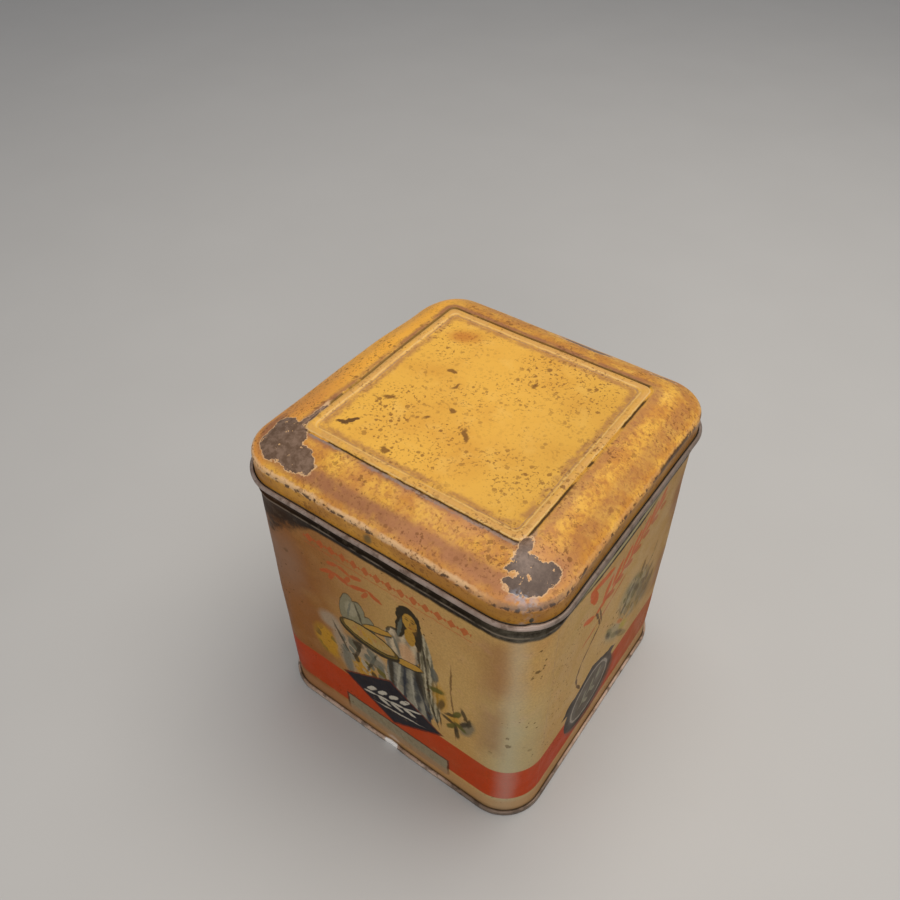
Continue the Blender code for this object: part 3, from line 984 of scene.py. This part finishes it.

    # Skirt, olive brown, with painted shade in the crease against the curl
    skirt = mat.ramp(run_rough, 28.2, 30.2)
    skirt_color = mat.mix(
        mat.blots(40, 5, 0.32, 0.62, rough=0.6, shift=2), (0.6, 0.285, 0.034), (0.37, 0.155, 0.02)
    )
    skirt_color = mat.mix(mat.times(right, 0.6), skirt_color, (0.22, 0.095, 0.012))
    mat.lay(skirt_color, skirt, 0.92)
    # Darker line just above the curl: painted shade in the crease
    mat.lay((0.13, 0.075, 0.04), mat.band(run, 37, 38.6, 0.4), 0.2)
    spot = Print(mat, mat.join(mat.times(x, 1000), run_rough, 1)).oval_mask(
        (-1.5, 33), (2.2, 3), 20, 0.7, 1
    )
    mat.lay((0.05, 0.06, 0.03), spot, front)

    # Rust specks, denser in clouds
    density = mat.blots(34, 4, 0.34, 0.62, shift=11, least=0.15)
    large = mat.times(mat.specks(170, 0.27, shift=1), density, 0.75)
    small = mat.times(mat.specks(330, 0.46, shift=2), density)
    fine = mat.times(mat.blots(650, 4, 0.555, 0.625, rough=0.65), density)
    rust = mat.most(large, small, fine)
    mat.lay(RUST, rust, 0.72)

    # Single marks: a slanting scratch, spots and a reddish blotch
    ink = Print(mat, mat.by_hand(mat.times(x, 1000), mat.times(y, 1000), 120, 9, 5))
    ink.oval((0.44, 0.13, 0.02), (-42, 43), (7, 4.6), 15, 0.7, 4)
    ink.oval((0.1, 0.045, 0.015), (-48, -46), (5.2, 1.6), 52, 0.95)
    for across, up, wide, high, turn in (
        (-29, 14, 2.6, 1.6, 0), (-9.5, -11, 2, 1.8, 0), (13, 29, 2.4, 1.2, 40), (5, -22, 5, 1.5, -55),
        (-20, -51, 2.6, 1.8, 0), (-17, -22, 2.2, 1, 60), (-20, 6, 3, 0.9, 75), (-42, -20, 3.4, 1.4, 20),
    ):
        ink.oval((0.16, 0.065, 0.014), (across, up), (wide, high), turn, 0.85, 0.5)

    # Bare metal at two corners, with a torn edge of primer
    patches = ink.union(
        1, 1,
        (-67, -72, 12, 11, 0), (-53, -77.5, 11, 6, -5), (-72, -64, 6, 6, 0), (-64, -55, 1.6, 12, 0),
        (65.5, -63, 3, 6, 10), (73, -69, 9.5, 5.2, 6), (79.5, -66.5, 4, 6, -8), (68, -75, 3.8, 6, -20),
        (77, -74, 5, 5, 0), (72, -79, 5, 2.6, 20), (15, 81, 15, 3.4, 2), (61, 81, 6, 1.5, 0),
    )
    for centre, size, turn in (((66, -76.5), (4.2, 1.1), 38), ((73.5, -73), (0.8, 1.7), 20)):
        patches = mat.minus(patches, ink.oval_mask(centre, size, turn, 0.9, 0.6))
    flecks = mat.blots(260, 4, 0.6, 0.66, rough=0.7, shift=21)
    patches = mat.times(mat.minus(patches, mat.times(flecks, 0.6)), mat.ramp(run_rough, 24, 21))
    mat.lay(PRIMER, mat.ramp(patches, 0.05, 0.35, 0, 0.8))
    bare = mat.ramp(patches, 0.42, 0.58)
    bare_color = mat.mix(
        mat.blots(300, 5, 0.38, 0.64, rough=0.7), (0.14, 0.083, 0.052), (0.24, 0.155, 0.108)
    )
    mat.lay(bare_color, bare)
    mat.lay((0.095, 0.078, 0.072), ink.oval_mask((76, -74), (15, 16), 0, 0.6, 5), mat.most(bare, edge))
    # Painted bluish highlight of the light on the bare front corner
    corner_glint_mask = ink.oval_mask((75, -80.5), (5.5, 2.6), 20, 0.6, 2)
    mat.lay((0.37, 0.38, 0.44), corner_glint_mask, mat.blots(300, 4, 0.4, 0.56, shift=25))

    metal = mat.times(bare, 0.25)
    rough = mat.blots(80, 4, 0.3, 0.7, 0.54, shift=1, least=0.36)
    rough = mat.sum(rough, mat.times(mat.most(rust, wear), 0.18))
    height = mat.sum(mat.times(mat.grain(450, 4), 0.4), mat.times(rust, 0.25))
    height = mat.minus(height, mat.times(bare, 0.6))
    return mat.finish(rough, height, 0.08 * MM, metal)


def curl_metal():
    """The lid's rolled edge: print worn to grey-brown steel, with painted shade underneath."""
    mat = Paint("worn_curl", (0.37, 0.285, 0.24), metallic=0.25, specular=0.3)
    run = mat.attribute("run")
    x = mat.axes[0]
    mat.lay((0.27, 0.195, 0.155), mat.blots(120, 5, 0.36, 0.66, rough=0.6, shift=3))
    # Painted shade on the underside of the curl, weaker on the right side
    underside_shade = mat.times(mat.ramp(run, 42.7, 41.6), mat.ramp(x, 0.078, 0.088, 0.6, 0.3))
    mat.lay((0.045, 0.032, 0.024), underside_shade)
    mat.lay((0.11, 0.065, 0.04), mat.blots(200, 4, 0.54, 0.66, 0.6, shift=1))
    mat.lay((0.1, 0.078, 0.06), mat.ramp(x, 0.084, 0.089, 0, 0.6))
    rough = mat.blots(90, 4, 0.3, 0.7, 0.55, least=0.38)
    return mat.finish(rough, mat.grain(500, 3), 0.06 * MM)


def bare_sheet(name, base, stained, metallic):
    """Plain tinplate gone dull, with rust blooms."""
    mat = Paint(name, base, metallic=metallic)
    mat.lay(stained, mat.blots(35, 5, 0.35, 0.7, rough=0.6))
    blooms = mat.times(mat.specks(300, 0.42), mat.blots(30, 3, 0.45, 0.6, shift=3))
    mat.lay(RUST, blooms, 0.8)
    rough = mat.sum(mat.blots(90, 4, 0.3, 0.7, 0.45, least=0.28), mat.times(blooms, 0.3))
    height = mat.sum(mat.grain(700, 3), mat.times(blooms, 0.5))
    return mat.finish(rough, height, 0.04 * MM)


def seam_metal():
    """The foot rim: print worn to brown steel, black round the front corner, with painted shade along its
    bottom and one bright knock.
    """
    mat = Paint("worn_seam", (0.36, 0.235, 0.16), metallic=0.2, specular=0.3)
    x, y, z = mat.axes
    mat.lay((0.6, 0.44, 0.34), mat.blots(60, 5, 0.35, 0.65, rough=0.6))
    corner = mat.ramp(mat.minus(x, y), 0.115, 0.15)
    mat.lay((0.09, 0.06, 0.04), corner, 0.8)
    mat.lay((0.07, 0.045, 0.03), mat.blots(180, 4, 0.5, 0.62, 0.65, shift=3))
    # Painted shade along the bottom of the fold, where it meets the floor
    mat.lay((0.05, 0.034, 0.024), mat.ramp(z, 1.4 * MM, 0.5 * MM, 0, 0.85))
    place = mat.by_hand(mat.times(x, 1000), mat.times(y, 1000), 300, 4)
    knock = Print(mat, place).oval_mask((0.5, -88.5), (4.6, 3), 0, 1, 0.6)
    mat.lay((0.95, 0.92, 0.88), knock)
    rough = mat.blots(90, 4, 0.3, 0.7, 0.55, least=0.35)
    return mat.finish(rough, mat.grain(500, 3), 0.06 * MM)


# ---------------- pieces

def on_side(direction):
    """True for faces on the flat of one side of the body, below the lid's stop bead."""
    def chosen(centre, normal, run):
        along = Vector((centre.x, centre.y)).cross(Vector(direction))
        facing = normal.xy.dot(Vector(direction)) > 0.97
        return facing and abs(along) < BODY_FLAT and 4 * MM < centre.z < 171 * MM
    return chosen


def in_curl(centre, normal, run):
    """True for faces of the lid's rolled edge."""
    return run < -CURL_RUN


def make_body(inside):
    plain = body_paint("cream_print")
    picture = body_paint("cream_print_picture", front_picture, front_emblem)
    laurel = body_paint("cream_print_laurel", side_picture, side_emblem)
    coats = [
        (anywhere, plain, inside),
        (on_side((0, -1)), picture, inside), (on_side((0, 1)), picture, inside),
        (on_side((1, 0)), laurel, inside), (on_side((-1, 0)), laurel, inside),
    ]
    return make_sheet("printed_body", around_body(body_profile()), 0, bend_body, coats)


def make_bottom(inside):
    coats = [(anywhere, inside, seam_metal())]
    return make_sheet(
        "seamed_bottom", around_body(bottom_profile()), 0, bend_bottom, coats, close_last=True
    )


def make_lid(inside):
    rings, groove = lid_rings()
    coats = [(anywhere, lid_paint(), inside), (in_curl, inside, curl_metal())]
    piece = make_sheet("printed_lid", rings, groove, bend_lid, coats, close_last=True)
    runs = piece.data.attributes["run"].data
    values = [0.0] * len(runs)
    runs.foreach_get("value", values)
    runs.foreach_set("value", [-value for value in values])
    return piece


def make_wire(steel):
    curve = bpy.data.curves.new("rim_wire", "CURVE")
    curve.dimensions = "3D"
    curve.bevel_depth = WIRE_R
    curve.bevel_resolution = 3
    half = BODY_HALF + SKIRT + CURL_R
    spline = curve.splines.new("POLY")
    ring = rounded_square(half, half - BODY_FLAT)
    spline.points.add(len(ring) - 1)
    for spline_point, (flat_point, out, _) in zip(spline.points, ring):
        point = bend_lid(Vector((*flat_point, CURL_Z)), Vector((*out, 0)))
        spline_point.co = (*point, 1)
    spline.use_cyclic_u = True
    curve.materials.append(steel)
    return add_object("rim_wire", curve)


def stand_in(piece, node, body):
    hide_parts(node)
    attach(piece, body)


def make_tin():
    inside = bare_sheet("inside_tinplate", (0.36, 0.31, 0.24), (0.24, 0.18, 0.11), 0.7)
    body, bottom, lid = make_body(inside), make_bottom(inside), make_lid(inside)
    wire = make_wire(bare_sheet("drawn_wire", (0.3, 0.29, 0.28), (0.18, 0.15, 0.12), 0.9))
    stand_in(body, "body_wall", "tin")
    stand_in(bottom, "bottom_panel", "tin")
    stand_in(lid, "lid_shell", "lid")
    stand_in(wire, "lid_rim_wire", "lid")


# ---------------- stage

def make_floor():
    mesh = bpy.data.meshes.new("floor")
    size = 3.0
    corners = [(x * size, y * size, CAD_LOW.z - 0.1 * MM) for x, y in ((-1, -1), (1, -1), (1, 1), (-1, 1))]
    mesh.from_pydata(corners, [], [(0, 1, 2, 3)])
    mat = Paint("pale_floor", (0.47, 0.46, 0.445))
    mat.lay((0.5, 0.49, 0.475), mat.grain(8, 2))
    mesh.materials.append(mat.finish(0.7, mat.grain(300, 2), 0.02 * MM))
    add_object("floor", mesh)


def make_light(name, place, aim, size, power, color):
    data = bpy.data.lights.new(name, "AREA")
    data.size = size
    data.energy = power
    data.color = color
    light = add_object(name, data)
    light.location = place
    light.rotation_euler = (Vector(aim) - Vector(place)).to_track_quat("-Z", "Y").to_euler()


def make_lights():
    world = bpy.data.worlds.new("studio")
    world.use_nodes = True
    background = world.node_tree.nodes["Background"]
    background.inputs["Color"].default_value = (0.9, 0.93, 1, 1)
    background.inputs["Strength"].default_value = 0.28
    bpy.context.scene.world = world
    middle = (0, 0, 0.1)
    make_light("overhead", (0.2, 0.3, 1.5), middle, 1.1, 18, (1, 0.95, 0.88))
    make_light("front", (0.85, -1.25, 0.7), middle, 0.8, 9.6, (1, 0.97, 0.93))
    bpy.context.scene.view_settings.view_transform = "Standard"


def make_camera():
    azimuth, elevation = math.radians(CAMERA_AZIMUTH), math.radians(CAMERA_ELEVATION)
    back = Vector((
        math.sin(azimuth) * math.cos(elevation), -math.cos(azimuth) * math.cos(elevation), math.sin(
            elevation
        )
    ))
    data = bpy.data.cameras.new("camera")
    data.lens = CAMERA_LENS
    camera = add_object("camera", data)
    camera.location = CAMERA_AIM + back * CAMERA_DISTANCE
    turn = (-back).to_track_quat("-Z", "Y").to_matrix() @ Matrix.Rotation(
        math.radians(CAMERA_ROLL), 3, "Z"
    )
    camera.rotation_euler = turn.to_euler()
    bpy.context.scene.camera = camera


make_camera()
make_floor()
make_lights()
make_tin()
